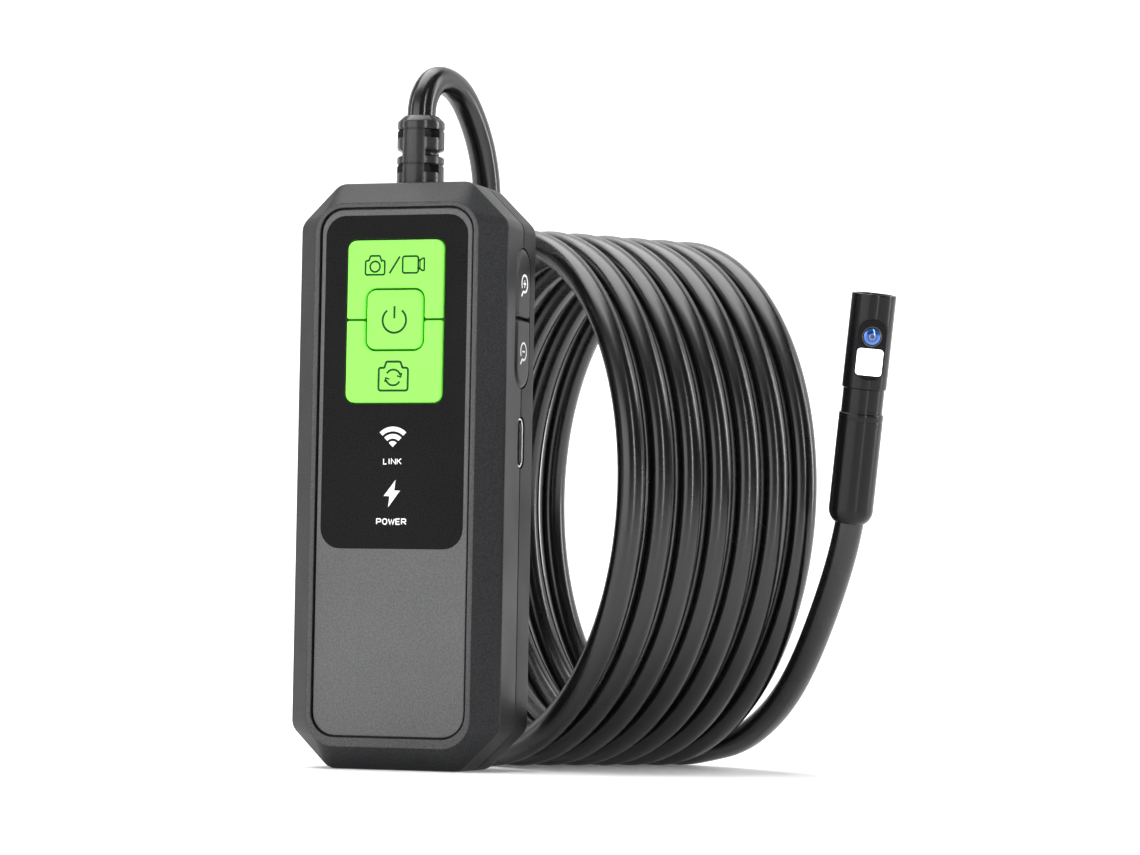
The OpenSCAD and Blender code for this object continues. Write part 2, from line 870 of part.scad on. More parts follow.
front_shell();
rear_shell();
face_plate();
panel_overlay();
key_gasket();
photo_key();
power_key();
lens_key();
zoom_in_key();
zoom_out_key();
photo_plunger();
power_plunger();
lens_plunger();
zoom_in_plunger();
zoom_out_plunger();
front_switches();
side_switches();
light_guides();
status_leds();
main_board();
video_processor();
radio_module();
antenna_strip();
battery_cell();
battery_pad();
battery_lead();
battery_plug();
charge_port();
charge_port_tongue();
data_port();
data_port_tongue();
case_screws();
strain_relief();
cable_core();
cable_clamp();
clamp_screws();
wire_harness();
board_plug();
cable_lead();
cable_coil();
cable_tail();
probe_barrel();
probe_wires();
neck_sleeve();
probe_head();
camera_board();
side_window();
side_lens();
side_lamp();
tip_board();
front_lens();
front_lamps();
tip_window();
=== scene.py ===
"""Looks of the inspection camera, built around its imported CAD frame. Metres, +Z up, front towards -Y."""

import json
import math

import bmesh
import bpy
import numpy as np
from mathutils import Matrix, Vector


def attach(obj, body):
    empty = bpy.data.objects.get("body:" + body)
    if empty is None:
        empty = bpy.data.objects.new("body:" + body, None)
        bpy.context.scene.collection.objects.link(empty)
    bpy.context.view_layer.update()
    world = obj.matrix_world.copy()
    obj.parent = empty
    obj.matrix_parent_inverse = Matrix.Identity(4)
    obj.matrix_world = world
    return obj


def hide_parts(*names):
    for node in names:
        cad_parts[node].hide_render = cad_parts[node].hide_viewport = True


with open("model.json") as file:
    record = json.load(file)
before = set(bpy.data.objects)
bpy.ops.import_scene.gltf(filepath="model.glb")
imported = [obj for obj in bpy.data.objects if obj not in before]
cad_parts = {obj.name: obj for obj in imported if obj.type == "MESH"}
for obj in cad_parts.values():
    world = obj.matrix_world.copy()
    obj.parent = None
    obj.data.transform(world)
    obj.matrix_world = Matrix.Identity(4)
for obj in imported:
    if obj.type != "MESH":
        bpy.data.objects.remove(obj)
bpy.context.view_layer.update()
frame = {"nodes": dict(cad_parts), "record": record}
nodes = frame["nodes"]
MM = 0.001

# ---------------------------------------------------------------- camera

AZIMUTH, ELEVATION, ROLL = math.radians(18.5), math.radians(-3.0), math.radians(1.0)
back = Vector((
    math.sin(AZIMUTH) * math.cos(ELEVATION),
    -math.cos(AZIMUTH) * math.cos(ELEVATION),
    math.sin(ELEVATION),
))
level = Vector((math.cos(AZIMUTH), math.sin(AZIMUTH), 0.0))
upward = back.cross(level)
cam_x = level * math.cos(ROLL) + upward * math.sin(ROLL)
cam_y = upward * math.cos(ROLL) - level * math.sin(ROLL)
camera_data = bpy.data.cameras.new("camera")
camera_data.lens, camera_data.sensor_width = 122.2, 36.0
camera_data.clip_start, camera_data.clip_end = 0.01, 50.0
camera = bpy.data.objects.new("camera", camera_data)
camera.matrix_world = Matrix.Translation((0.2501, -0.6587, 0.0256)) @ Matrix(
    (cam_x, cam_y, back)
).transposed().to_4x4()
bpy.context.scene.collection.objects.link(camera)
bpy.context.scene.camera = camera

# ---------------------------------------------------------------- materials


def node_tree(name):
    made = bpy.data.materials.new(name)
    made.use_nodes = True
    tree = made.node_tree
    return made, tree, tree.nodes["Principled BSDF"]


def noise(tree, coords, scale, detail=3.0):
    made = tree.nodes.new("ShaderNodeTexNoise")
    made.inputs["Scale"].default_value = scale
    made.inputs["Detail"].default_value = detail
    tree.links.new(coords.outputs["Object"], made.inputs["Vector"])
    return made


def finish_of(name, color, rough, spread=0.06, tone=0.12, grain=3200.0, bump=0.25, depth=0.02,
              metal=0.0, spec=0.5, coat=0.0, glow=0.0, clear=0.0, wear=0.10, streak=0.0, grain_along=None):
    """Procedural finish: fine grain in colour and height, and broad drift in tone and gloss.

    streak draws the highlight out along a turned piece (RADIAL) or along a cord (UV_MAP).
    """
    made, tree, shader = node_tree(name)
    links = tree.links
    coords = tree.nodes.new("ShaderNodeTexCoord")
    fine = noise(tree, coords, grain, 4.0)
    broad = noise(tree, coords, 55.0)
    speck = tree.nodes.new("ShaderNodeMix")
    speck.data_type = "RGBA"
    speck.inputs["A"].default_value = [c * (1 - tone) for c in color] + [1]
    speck.inputs["B"].default_value = [min(1.0, c * (1 + tone)) for c in color] + [1]
    contrast = tree.nodes.new("ShaderNodeMapRange")
    contrast.inputs["From Min"].default_value = 0.35
    contrast.inputs["From Max"].default_value = 0.65
    links.new(fine.outputs["Fac"], contrast.inputs["Value"])
    links.new(contrast.outputs["Result"], speck.inputs["Factor"])
    drift = tree.nodes.new("ShaderNodeMix")
    drift.data_type = "RGBA"
    drift.blend_type = "MULTIPLY"
    drift.inputs["B"].default_value = [1 - wear] * 3 + [1]
    links.new(broad.outputs["Fac"], drift.inputs["Factor"])
    links.new(speck.outputs["Result"], drift.inputs["A"])
    links.new(drift.outputs["Result"], shader.inputs["Base Color"])
    gloss = tree.nodes.new("ShaderNodeMapRange")
    gloss.inputs["From Min"].default_value = 0.3
    gloss.inputs["From Max"].default_value = 0.7
    gloss.inputs["To Min"].default_value = max(0.02, rough - spread)
    gloss.inputs["To Max"].default_value = min(1.0, rough + spread)
    links.new(broad.outputs["Fac"], gloss.inputs["Value"])
    links.new(gloss.outputs["Result"], shader.inputs["Roughness"])
    if bump:
        relief = tree.nodes.new("ShaderNodeBump")
        relief.inputs["Strength"].default_value = bump
        relief.inputs["Distance"].default_value = depth * MM
        links.new(fine.outputs["Fac"], relief.inputs["Height"])
        links.new(relief.outputs["Normal"], shader.inputs["Normal"])
    if grain_along:
        tangent = tree.nodes.new("ShaderNodeTangent")
        tangent.direction_type = grain_along
        links.new(tangent.outputs["Tangent"], shader.inputs["Tangent"])
        shader.inputs["Anisotropic"].default_value = streak
        shader.inputs["Anisotropic Rotation"].default_value = 0.25 if grain_along == "RADIAL" else 0.0
    shader.inputs["Metallic"].default_value = metal
    shader.inputs["Specular IOR Level"].default_value = spec
    shader.inputs["Coat Weight"].default_value = coat
    shader.inputs["Coat Roughness"].default_value = 0.06
    shader.inputs["Transmission Weight"].default_value = clear
    if glow:
        shader.inputs["Emission Color"].default_value = list(color) + [1]
        shader.inputs["Emission Strength"].default_value = glow
    return made


shell_front = finish_of(
    "shell_front", (0.021, 0.0215, 0.023), 0.42, tone=0.35, bump=0.5, depth=0.03, spec=0.2)
# Lighter copy of the shell plastic for the flat front rim: painted highlight along the front edge
rim_painted_highlight = finish_of("rim_painted_highlight", (0.055, 0.055, 0.057), 0.42, tone=0.3, bump=0.5, depth=0.03, spec=0.35)
shell_rear = finish_of(
    "shell_rear", (0.018, 0.0185, 0.020), 0.46, tone=0.35, bump=0.5, depth=0.03, spec=0.15)
plate_grey = finish_of("face_plate", (0.082, 0.082, 0.084), 0.45, tone=0.22, bump=0.5, depth=0.03)
overlay_black = finish_of(
    "overlay", (0.006, 0.006, 0.0064), 0.55, tone=0.5, bump=0.5, depth=0.03, spec=0.1)
# The green keys' glow is painted light: they are no lamp
key_green = finish_of(
    "key_green", (0.25, 0.93, 0.095), 0.42, tone=0.03, wear=0.03, bump=0.15, spec=0.3, glow=0.12)
# Membrane seen in the gaps between the green keys: its green, far darker than the keys', is painted shade
# in the gaps
key_web_painted_shade = finish_of("key_web_painted_shade", (0.06, 0.22, 0.02), 0.6, tone=0.1, bump=0.2, spec=0.2)
key_black = finish_of("key_black", (0.015, 0.015, 0.016), 0.44, tone=0.25, bump=0.5, depth=0.03, spec=0.3)
icon_ink = finish_of("icon_ink", (0.016, 0.05, 0.010), 0.5, tone=0.12, bump=0.1, spec=0.2)
# The white print's glow is painted light: it is no lamp
white_ink = finish_of(
    "white_ink", (0.92, 0.92, 0.92), 0.5, tone=0.03, wear=0.03, bump=0.1, spec=0.2, glow=0.15)
relief_rubber = finish_of(
    "relief_rubber", (0.017, 0.017, 0.018), 0.34, tone=0.35, bump=0.3, depth=0.03, streak=0.8,
    grain_along="RADIAL")
jacket = finish_of(
    "cable_jacket", (0.003, 0.003, 0.0034), 0.26, spread=0.03, tone=0.2, grain=1500.0, bump=0.1, spec=0.6,
    streak=0.7, grain_along="UV_MAP")
probe_black = finish_of(
    "probe_metal", (0.003, 0.003, 0.0034), 0.25, spread=0.02, tone=0.2, bump=0.0, spec=0.28,
    streak=0.9, grain_along="RADIAL")
neck_black = finish_of(
    "neck_metal", (0.004, 0.004, 0.0045), 0.27, spread=0.03, tone=0.2, bump=0.0, spec=0.28,
    streak=0.9, grain_along="RADIAL")
window_black = finish_of(
    "window_glass", (0.004, 0.004, 0.005), 0.10, spread=0.01, tone=0.1, bump=0.0, spec=0.12)
lamp_white = finish_of(
    "lamp", (1.0, 1.0, 0.98), 0.4, tone=0.01, wear=0.01, grain=2500.0, bump=0.05, glow=1.6)
port_metal = finish_of(
    "port_metal", (0.78, 0.78, 0.80), 0.22, metal=1.0, tone=0.06, grain=1800.0, bump=0.1)
steel = finish_of("screw_steel", (0.42, 0.42, 0.44), 0.30, metal=1.0, tone=0.15, grain=1800.0, bump=0.2)
lens_ring = finish_of("lens_ring", (0.02, 0.02, 0.022), 0.12, spread=0.02, tone=0.1, bump=0.0, coat=0.6)
tongue_black = finish_of("tongue", (0.02, 0.02, 0.022), 0.5, bump=0.2)
inside = {
    "gasket": finish_of("gasket", (0.10, 0.11, 0.12), 0.7, bump=0.4),
    "switch_body": finish_of("switch_body", (0.03, 0.03, 0.032), 0.5),
    "plunger": finish_of("plunger", (0.72, 0.70, 0.64), 0.45, tone=0.05),
    "light_guide": finish_of("light_guide", (0.85, 0.9, 0.92), 0.12, tone=0.02, clear=0.8, bump=0.05),
    "led": finish_of("led", (0.9, 0.86, 0.6), 0.3, tone=0.04),
    "board": finish_of("board", (0.012, 0.09, 0.045), 0.38, tone=0.25, grain=900.0),
    "chip": finish_of("chip", (0.02, 0.02, 0.022), 0.55, tone=0.2),
    "tinned_metal": finish_of("tinned_metal", (0.66, 0.67, 0.68), 0.3, metal=1.0, tone=0.08),
    "antenna": finish_of("antenna", (0.5, 0.25, 0.06), 0.35, metal=0.6, tone=0.1),
    "cell_wrap": finish_of("cell_wrap", (0.42, 0.44, 0.5), 0.3, metal=0.7, tone=0.06),
    "foam": finish_of("foam", (0.04, 0.04, 0.045), 0.9, tone=0.4, bump=0.8, depth=0.1),
    "wire": finish_of("wire", (0.45, 0.45, 0.47), 0.45, tone=0.1),
    "connector": finish_of("connector", (0.8, 0.77, 0.66), 0.5, tone=0.05),
    "core": finish_of("core", (0.25, 0.26, 0.28), 0.5, tone=0.1),
    "port_metal": port_metal,
    "tongue": tongue_black,
    "screw_steel": steel,
    "lens": lens_ring,
    "lamp": lamp_white,
}


def lens_finish(name, centre, radius):
    """Coated glass: blue and violet tint round a dark pupil, with lighter blue rings and a pale centre dot
    that are painted reflections, under a clear gloss.
    """
    made, tree, shader = node_tree(name)
    links = tree.links
    coords = tree.nodes.new("ShaderNodeTexCoord")
    away = tree.nodes.new("ShaderNodeVectorMath")
    away.operation = "DISTANCE"
    away.inputs[1].default_value = centre
    links.new(coords.outputs["Object"], away.inputs[0])
    share = tree.nodes.new("ShaderNodeMapRange")
    share.inputs["From Max"].default_value = radius
    links.new(away.outputs["Value"], share.inputs["Value"])
    ramp = tree.nodes.new("ShaderNodeValToRGB")
    # The pale centre and the light blue ring are painted reflections; the dark and deep blue stops are the
    # coating's tint
    tint_with_painted_reflections = [
        (0.0, (0.45, 0.62, 0.9)), (0.14, (0.01, 0.012, 0.03)), (0.27, (0.02, 0.03, 0.09)),
        (0.34, (0.25, 0.42, 0.8)), (0.42, (0.01, 0.03, 0.12)), (0.66, (0.03, 0.14, 0.48)),
        (0.84, (0.06, 0.24, 0.62)), (1.0, (0.01, 0.012, 0.03)),
    ]
    elements = ramp.color_ramp.elements
    for at, shade in tint_with_painted_reflections[1:-1]:
        elements.new(at).color = shade + (1,)
    elements[0].color = tint_with_painted_reflections[0][1] + (1,)
    elements[len(elements) - 1].color = tint_with_painted_reflections[-1][1] + (1,)
    links.new(share.outputs["Result"], ramp.inputs["Fac"])
    swirl = noise(tree, coords, 420.0, 2.0)
    blend = tree.nodes.new("ShaderNodeMix")
    blend.data_type = "RGBA"
    blend.blend_type = "MULTIPLY"
    blend.inputs["B"].default_value = (0.35, 0.5, 0.9, 1)
    links.new(swirl.outputs["Fac"], blend.inputs["Factor"])
    links.new(ramp.outputs["Color"], blend.inputs["A"])
    links.new(blend.outputs["Result"], shader.inputs["Base Color"])
    shader.inputs["Roughness"].default_value = 0.12
    shader.inputs["Metallic"].default_value = 0.5
    shader.inputs["Coat Weight"].default_value = 1.0
    shader.inputs["Coat Roughness"].default_value = 0.02
    return made


# ---------------------------------------------------------------- shapes, in millimetres


def arc(cu, cv, r, a0, a1, n):
    turns = np.radians(np.linspace(a0, a1, n + 1))
    return [(cu + r * math.cos(a), cv + r * math.sin(a)) for a in turns]


def rrect(hu, hv, r, cu=0.0, cv=0.0, n=6):
    """Round-cornered rectangle, anticlockwise."""
    out = []
    for q, (su, sv) in enumerate(((1, 1), (-1, 1), (-1, -1), (1, -1))):
        out += arc(cu + su * (hu - r), cv + sv * (hv - r), r, 90 * q, 90 * q + 90, n)
    return np.array(out)


def cased(hw, hh, r, cut=None, cv=53.0, n=5):
    """The case's outline, with two arcs at each corner and a straight cut between them."""
    out = []
    t = r * math.tan(math.pi / 8)
    for octant in range(8):
        su = 1 if octant in (0, 1, 6, 7) else -1
        sv = 1 if octant < 4 else -1
        if cut is None:
            u, v = hw - r, hh - r
        elif octant in (0, 3, 4, 7):
            u, v = hw - r, hh - cut - t
        else:
            u, v = hw - cut - t, hh - r
        out += arc(su * u, cv + sv * v, r, 45 * octant, 45 * octant + 45, n)
    return np.array(out)


def rounded(corners, n=5):
    """Closed outline from corners (u, v, radius), anticlockwise."""
    out = []
    for i, (u, v, r) in enumerate(corners):
        p = np.array((u, v), float)
        a = np.array(corners[i - 1][:2], float) - p
        b = np.array(corners[(i + 1) % len(corners)][:2], float) - p
        a, b = a / np.linalg.norm(a), b / np.linalg.norm(b)
        half = math.acos(max(-1.0, min(1.0, float(a @ b)))) / 2
        c = p + (a + b) / np.linalg.norm(a + b) * r / math.sin(half)
        s, e = p + a * r / math.tan(half) - c, p + b * r / math.tan(half) - c
        a0, a1 = math.atan2(s[1], s[0]), math.atan2(e[1], e[0])
        turn = (a1 - a0 + math.pi) % (2 * math.pi) - math.pi
        out += arc(c[0], c[1], r, math.degrees(a0), math.degrees(a0 + turn), n)
    return np.array(out)


def grow(loop, d):
    """The loop moved outwards by d."""
    before, after = loop - np.roll(loop, 1, 0), np.roll(loop, -1, 0) - loop
    n1 = np.stack([before[:, 1], -before[:, 0]], 1) / np.linalg.norm(before, axis=1)[:, None]
    n2 = np.stack([after[:, 1], -after[:, 0]], 1) / np.linalg.norm(after, axis=1)[:, None]
    return loop + d * (n1 + n2) / (1 + (n1 * n2).sum(1))[:, None]


def on_front(loop, y):
    return np.stack([loop[:, 0], np.full(len(loop), y), loop[:, 1]], 1)


def on_side(loop, x):
    return np.stack([np.full(len(loop), x), loop[:, 0], loop[:, 1]], 1)


def on_level(loop, z):
    return np.stack([loop[:, 0], loop[:, 1], np.full(len(loop), z)], 1)


def circle(r, n=48):
    turns = np.linspace(0, 2 * math.pi, n, endpoint=False)
    return np.stack([r * np.cos(turns), r * np.sin(turns)], 1)


class Part:
    """Collects surfaces in millimetres and makes one object of them."""

    def __init__(self):
        self.v, self.f = [], []

    def loft(self, rings, loop=False, caps=True):
        base, n, m = len(self.v), len(rings[0]), len(rings)
        for ring in rings:
            self.v += [tuple(p) for p in ring]
        for i in range(m if loop else m - 1):
            j = (i + 1) % m
            low, high = base + i * n, base + j * n
            for k in range(n):
                near = (k + 1) % n
                self.f.append((low + k, low + near, high + near, high + k))
        if caps and not loop:
            self.f.append(tuple(base + k for k in reversed(range(n))))
            self.f.append(tuple(base + (m - 1) * n + k for k in range(n)))
        return self

    def slab(self, loop, place, bottom, top, edge, steps=4):
        """Plate between two planes with its top edge rounded."""
        way = 1 if bottom > top else -1
        rings = [place(loop, bottom)]
        for k in range(steps + 1):
            a = math.pi / 2 * k / steps
            inset, drop = edge * (1 - math.cos(a)), edge * (1 - math.sin(a))
            rings.append(place(grow(loop, -inset), top + way * drop))
        return self.loft(rings)

    def frame_slab(self, hole, outer, place, bottom, top, edge, steps=3):
        """Plate with a hole, its outer top edge rounded."""
        way = 1 if bottom > top else -1
        rings = [place(hole, bottom), place(hole, top + way * 0.02), place(grow(hole, 0.02), top)]
        for k in range(steps, -1, -1):
            a = math.pi / 2 * k / steps
            inset, drop = edge * (1 - math.cos(a)), edge * (1 - math.sin(a))
            rings.append(place(grow(outer, -inset), top + way * drop))
        rings.append(place(outer, bottom))
        return self.loft(rings, loop=True)

    def lathe(self, profile, n=64, caps=True):
        return self.loft([on_level(circle(r, n), z) for r, z in profile], caps=caps)

    def wedge(self, profile, a0, a1, n=16):
        """Part of a turned ring between two angles round the Z axis."""
        rings = []
        for a in np.radians(np.linspace(a0, a1, n + 1)):
            rings.append(np.array([(r * math.cos(a), r * math.sin(a), z) for r, z in profile]))
        return self.loft(rings)

    def stroke(self, points, width, place, at, closed=False):
        """Printed line of one width along points."""
        p = np.array(points, float)
        n = len(p)
        step = np.roll(p, -1, 0) - p
        if not closed:
            step[-1] = step[-2]
        step /= np.linalg.norm(step, axis=1)[:, None]
        prior = np.roll(step, 1, 0)
        if not closed:
            prior[0] = step[0]
        n1 = np.stack([-prior[:, 1], prior[:, 0]], 1)
        n2 = np.stack([-step[:, 1], step[:, 0]], 1)
        side = (n1 + n2) / np.maximum(0.35, 1 + (n1 * n2).sum(1))[:, None] * width / 2
        left, right = place(p + side, at), place(p - side, at)
        base = len(self.v)
        self.v += [tuple(q) for q in left] + [tuple(q) for q in right]
        for i in range(n if closed else n - 1):
            j = (i + 1) % n
            self.f.append((base + i, base + n + i, base + n + j, base + j))
        return self

    def fill(self, loop, place, at):
        base = len(self.v)
        ring = place(np.array(loop, float), at)
        self.v += [tuple(q) for q in ring]
        self.f.append(tuple(range(base, base + len(ring))))
        return self

    def make(self, name, finish, body="camera_body", stands_for=(), slot=None, cutters=(), matrix=None,
             sharp=32.0, ease=None, solid=True, soften=True):
        mesh = bpy.data.meshes.new(name)
        mesh.from_pydata([tuple(c * MM for c in p) for p in self.v], [], self.f)
        obj = bpy.data.objects.new(name, mesh)
        bpy.context.scene.collection.objects.link(obj)
        tidy(mesh, solid)
        for cutter in cutters:
            tool = bpy.data.objects.new("cutter", bpy.data.meshes.new("cutter"))
            tool.data.from_pydata([tuple(c * MM for c in p) for p in cutter.v], [], cutter.f)
            bpy.context.scene.collection.objects.link(tool)
            tidy(tool.data, True)
            step = obj.modifiers.new("cut", "BOOLEAN")
            step.operation, step.solver, step.object = "DIFFERENCE", "EXACT", tool
            cut_now = obj.evaluated_get(bpy.context.evaluated_depsgraph_get())
            shape = bpy.data.meshes.new_from_object(cut_now)
            obj.modifiers.clear()
            obj.data = shape
            bpy.data.objects.remove(tool)
        if ease:
            ease_edges(obj.data, *ease)
        mesh = obj.data
        mesh.name = name
        mesh.materials.clear()
        mesh.materials.append(finish)
        mesh.polygons.foreach_set("use_smooth", [True] * len(mesh.polygons))
        mesh.set_sharp_from_angle(angle=math.radians(sharp))
        if matrix is not None:
            obj.matrix_world = matrix
        if soften:
            weighted = obj.modifiers.new("normals", "WEIGHTED_NORMAL")
            weighted.keep_sharp = True
        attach(obj, body)
        if stands_for:
            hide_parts(*stands_for)
        return obj


def tidy(mesh, solid):
    work = bmesh.new()
    work.from_mesh(mesh)
    bmesh.ops.remove_doubles(work, verts=work.verts, dist=1e-7)
    bmesh.ops.dissolve_degenerate(work, edges=work.edges, dist=1e-8)
    if solid:
        bmesh.ops.recalc_face_normals(work, faces=work.faces)
    work.to_mesh(mesh)
    work.free()


def ease_edges(mesh, width, chosen):
    """Breaks the sharp edges whose two ends chosen() accepts, in millimetres."""
    work = bmesh.new()
    work.from_mesh(mesh)
    edges = [
        e for e in work.edges
        if len(e.link_faces) == 2
        and e.calc_face_angle(0) > math.radians(50)
        and all(chosen(*(c / MM for c in v.co)) for v in e.verts)
    ]
    bmesh.ops.bevel(work, geom=edges, offset=width * MM, segments=2, affect="EDGES", clamp_overlap=True)
    work.to_mesh(mesh)
    work.free()


def fillet_profile(points, radii, n=5):
    """Open profile (s, y) with its inner corners rounded."""
    out = [points[0]]
    for i in range(1, len(points) - 1):
        p = np.array(points[i], float)
        a, b = np.array(points[i - 1], float) - p, np.array(points[i + 1], float) - p
        a, b = a / np.linalg.norm(a), b / np.linalg.norm(b)
        half = math.acos(float(a @ b)) / 2
        r = radii[i - 1]
        c = p + (a + b) / np.linalg.norm(a + b) * r / math.sin(half)
        s, e = p + a * r / math.tan(half) - c, p + b * r / math.tan(half) - c
        a0, a1 = math.atan2(s[1], s[0]), math.atan2(e[1], e[0])
        turn = (a1 - a0 + math.pi) % (2 * math.pi) - math.pi
        out += arc(c[0], c[1], r, math.degrees(a0), math.degrees(a0 + turn), n)
    return out + [points[-1]]


# ---------------------------------------------------------------- the two shells

# Depth of the front face, the seam between the shells, the face plate and the floor of its recess
FACE_Y, SEAM_Y, PLATE_Y, FLOOR_Y = -11.5, 0.9, -11.2, -10.2
# Half width and half height of the box and of its front edge
HALF_W, HALF_H, CORNER_CUT = 20.0, 53.0, 7.4
EDGE_W, EDGE_H, EDGE_R = 15.65, 48.9, 5.35
BEVEL, BEVEL_Y, WALL_Y = 4.35, -7.5, -4.0
RECESS_W, RECESS_H, RECESS_R, RECESS_Z = 14.75, 47.7, 4.5, 53.45
PHOTO_Z, POWER_Z, LENS_Z = 90.6, 80.8, 70.6
ZOOM_IN_Z, ZOOM_OUT_Z, ZOOM_Y = 88.4, 75.2, 0.9
SCREWS = [(x, z) for x in (-12, 12) for z in (9.5, 96.5)]
CHARGE_Z, PORT_Y = 59.3, 1.2
EDGE = cased(EDGE_W, EDGE_H, EDGE_R)
SIDE = cased(HALF_W, HALF_H, 3.0, cut=CORNER_CUT)


def shell_ring(s, y):
    """Outline s out from the front edge: negative runs in over the rim, positive out over the bevel."""
    if s < 0:
        return on_front(cased(EDGE_W + s, EDGE_H + s, EDGE_R + s), y)
    return on_front(EDGE + (SIDE - EDGE) * s / BEVEL, y)


def inner_ring(inset, y, r=2.0):
    return on_front(cased(HALF_W - inset, HALF_H - inset, r, cut=CORNER_CUT - 0.6 * inset), y)


def seam_rings(y, way):
    """Side wall's end at the seam: a small round edge, then the flat that meets the other shell."""
    rings = [on_front(SIDE, y - way * 0.25)]
    for k in range(1, 4):
        a = math.pi / 2 * k / 3
        rings.append(inner_ring(0.22 * (1 - math.cos(a)), y - way * (0.25 - 0.22 * math.sin(a)), 3.0))
    return rings + [inner_ring(0.9, y - way * 0.03), inner_ring(2.0, y - way * 0.03)]


def stem_cutters():
    """Holes in the front wall for the stems of the green keys."""
    hole = circle(1.6, 32)
    heights = (PHOTO_Z, POWER_Z, LENS_Z)
    return [Part().loft([on_front(hole + (0, z), y) for y in (-10.6, -8.1)]) for z in heights]


def side_cutters():
    """The zoom keys' field with its two stem holes, and the mouths of the side and base ports."""
    pocket = rounded([(4.9, 69.0, 3.95), (4.9, 94.6, 3.95), (-3.1, 94.6, 3.95), (-3.1, 69.0, 3.95)], 10)
    mouth = rrect(1.83, 4.72, 1.8, PORT_Y, CHARGE_Z, 8)
    base = rrect(4.72, 1.83, 1.8, 0.0, PORT_Y, 8)
    cuts = [
        Part().loft([on_side(pocket, 18.8), on_side(pocket, 21.5)]),
        Part().loft([on_side(mouth, 15.0), on_side(mouth, 21.5)]),
        Part().loft([on_level(base, -1.5), on_level(base, 5.0)]),
    ]
    for z in (ZOOM_IN_Z, ZOOM_OUT_Z):
        cuts.append(Part().loft([on_side(circle(1.32, 32) + (ZOOM_Y, z), x) for x in (16.5, 19.2)]))
    return cuts


def at_a_mouth(x, y, z):
    """Whether a point lies on the rim of the keys' field or of a port."""
    return (x > 19.99 and 54 < z < 96 and -3.3 < y < 5.1) or (z < 0.01 and abs(x) < 5 and -0.8 < y < 3.2)


def at_a_screw(y, z):
    """Whether a point of the back lies on the rim of a screw's well."""
    return y > 11.49 and min(abs(z - screw_z) for _, screw_z in SCREWS) < 2.3


front = [on_front(cased(RECESS_W, RECESS_H, RECESS_R, cv=RECESS_Z), y) for y in (FLOOR_Y, FACE_Y + 0.15)]
front.append(on_front(cased(14.79, 47.74, 4.54, cv=RECESS_Z), FACE_Y + 0.045))
front.append(on_front(cased(14.88, 47.83, 4.6, cv=RECESS_Z), FACE_Y))
bevel = fillet_profile([(-0.45, FACE_Y), (0.0, FACE_Y), (BEVEL, BEVEL_Y), (BEVEL, WALL_Y)], (0.55, 0.8))
front += [shell_ring(s, y) for s, y in bevel]
front += seam_rings(SEAM_Y - 0.06, 1)
front += [inner_ring(2.0, -6.0), inner_ring(5.3, -8.4)]
front_skin = Part().loft(front).make(
    "front_skin", shell_front, stands_for=["front_shell"], slot="shell_front",
    cutters=stem_cutters() + side_cutters(), ease=(0.16, at_a_mouth))
# The flat front rim faces take the lighter copy of the shell plastic: a painted highlight along the front
# edge
front_skin.data.materials.append(rim_painted_highlight)
for face in front_skin.data.polygons:
    if face.center.y < (FACE_Y + 0.05) * MM:
        face.material_index = 1

rear = [inner_ring(5.3, 9.5), inner_ring(2.0, 7.1)]
rear += list(reversed(seam_rings(SEAM_Y + 0.06, -1)))
rear += [shell_ring(s, -y) for s, y in reversed(bevel)]
wells = [Part().loft([on_front(circle(2.1, 40) + screw, y) for y in (10.2, 12.5)]) for screw in SCREWS]
Part().loft(rear).make(
    "rear_skin", shell_rear, stands_for=["rear_shell"], slot="shell_rear",
    cutters=side_cutters() + wells, ease=(0.16, lambda x, y, z: at_a_mouth(x, y, z) or at_a_screw(y, z)))

# ---------------------------------------------------------------- front panel

KEYS_Z = 80.5
KEY_HOLE = rrect(9.5, 14.95, 1.9, 0.0, KEYS_Z)
Part().frame_slab(KEY_HOLE, rrect(14.45, 47.4, 4.2, 0.0, RECESS_Z), on_front, -10.15, PLATE_Y, 0.22).make(
    "front_plate", plate_grey, stands_for=["face_plate"], slot="face_plate")
film = rrect(13.65, 30.05, 3.7, 0.0, 69.65)
Part().frame_slab(grow(KEY_HOLE, 0.02), film, on_front, -11.0, PLATE_Y - 0.06, 0.06).make(
    "overlay_film", overlay_black, stands_for=["panel_overlay"], slot="overlay")
# Membrane in the key gaps, coloured darker green as painted shade
Part().slab(rrect(9.35, 14.8, 1.7, 0.0, KEYS_Z), on_front, -10.2, -10.33, 0.05).make(
    "key_membrane", key_web_painted_shade, slot="key_green")


def front_key(name, loop, z, body, node):
    part = Part().slab(loop, on_front, -10.8, -11.7, 0.32, 5)
    stem = [(1.45, -10.9), (1.45, -8.35), (2.1, -8.35), (2.1, -7.75), (1.45, -7.75), (1.45, -4.9)]
    part.loft([on_front(circle(r, 32) + (0, z), y) for r, y in stem])
    return part.make(name, key_green, body, [node], "key_green")


HALF, NOTCH = 9.2, 5.7
upper = rounded([
    (HALF, 81.0, 0.35), (HALF, 95.15, 1.6), (-HALF, 95.15, 1.6), (-HALF, 81.0, 0.35),
    (-NOTCH, 81.0, 0.35), (-NOTCH, 86.5, 2.0), (NOTCH, 86.5, 2.0), (NOTCH, 81.0, 0.35)])
lower = rounded([
    (HALF, 80.6, 0.35), (NOTCH, 80.6, 0.35), (NOTCH, 75.1, 2.0), (-NOTCH, 75.1, 2.0),
    (-NOTCH, 80.6, 0.35), (-HALF, 80.6, 0.35), (-HALF, 65.85, 1.6), (HALF, 65.85, 1.6)])
front_key("photo_cap", upper, PHOTO_Z, "photo_button", "photo_key")
front_key("power_cap", rrect(5.32, 5.32, 1.6, 0.0, POWER_Z), POWER_Z, "power_button", "power_key")
front_key("lens_cap", lower, LENS_Z, "lens_button", "lens_key")

